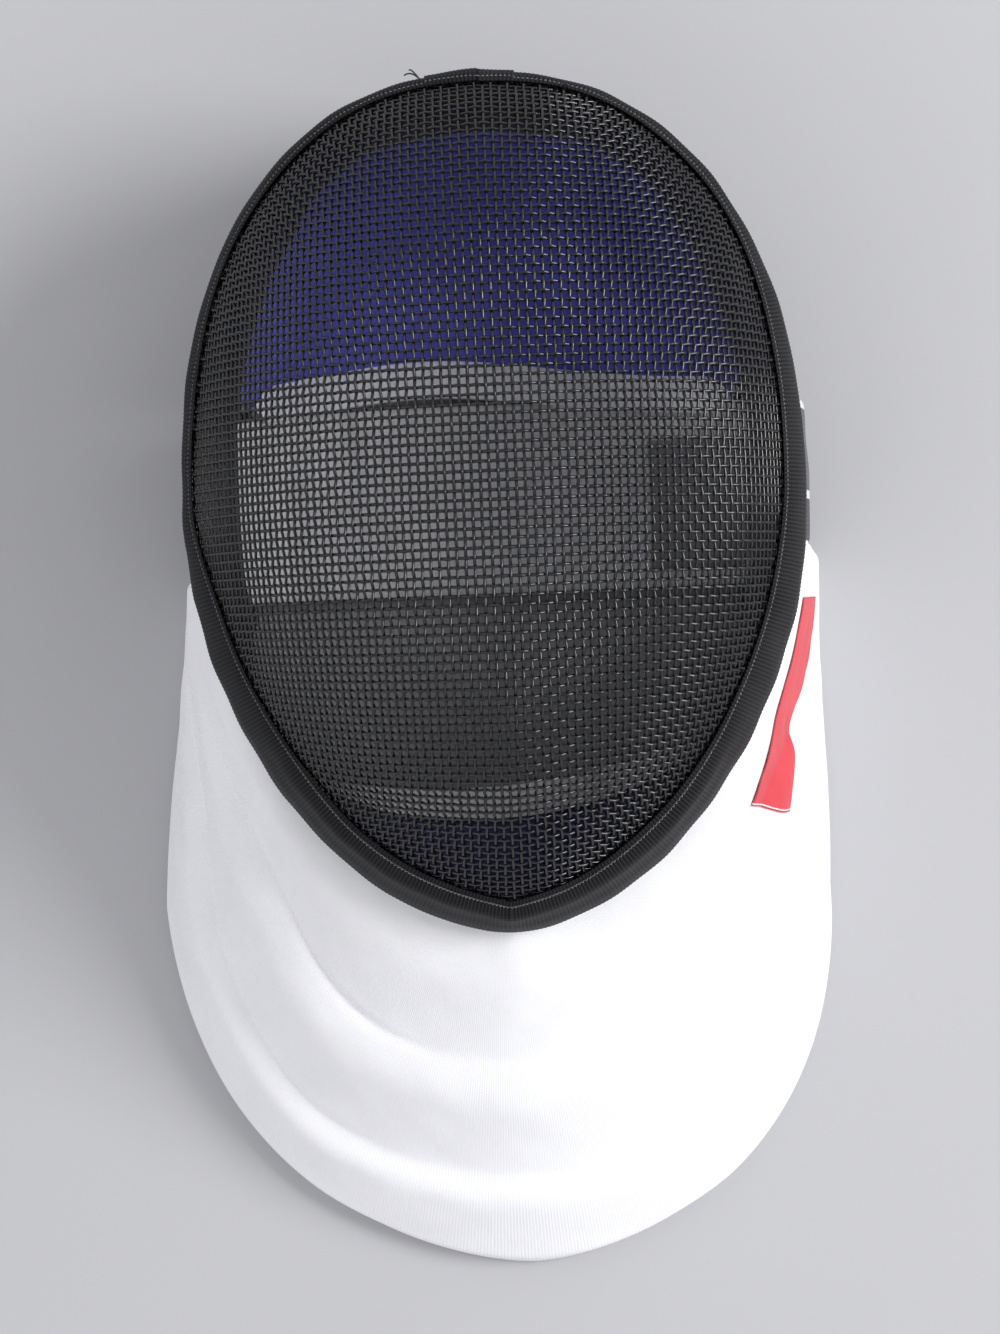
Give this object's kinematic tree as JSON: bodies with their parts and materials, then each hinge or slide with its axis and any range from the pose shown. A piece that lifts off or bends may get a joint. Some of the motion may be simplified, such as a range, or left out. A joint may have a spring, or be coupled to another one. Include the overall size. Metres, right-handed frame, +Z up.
{
  "type": "fencing mask",
  "caption": "Fencing mask lying face up: domed woven wire face with a taped rim, wire sides, padded lining, back strap and a quilted throat bib.",
  "frame": {"origin": "middle of the mask's box, on the surface it lies on", "axes": "+Z up, out of the face; +Y towards the crown, -Y towards the bib; +X to the right in the picture"},
  "size_m": [0.252, 0.436, 0.195],
  "materials": {
    "wire": "black painted woven steel wire, half gloss",
    "tape": "ribbed black tape with a grey stitch line",
    "white_knit": "matt white knit over padding",
    "red_label": "smooth red woven label, bare",
    "blue_lining": "matt blue lining cloth over padding",
    "white_binding": "matt white binding tape",
    "black_pad": "matt black cloth over padding",
    "navy_pad": "matt navy cloth over padding",
    "elastic": "light ribbed elastic",
    "hook_patch": "dark hook and loop patch"
  },
  "bodies": {
    "root": {"front_mesh": "wire", "edge_trim": "tape", "side_mesh": "wire", "rear_trim": "tape", "bib": "white_knit", "side_label": "red_label", "crown_lining": "blue_lining", "lining_binding": "white_binding", "rim_pad": "black_pad", "chin_pad": "navy_pad", "chin_binding": "white_binding", "back_strap": "elastic", "strap_fastener": "hook_patch", "strap_tab": "elastic"}
  },
  "joints": []
}
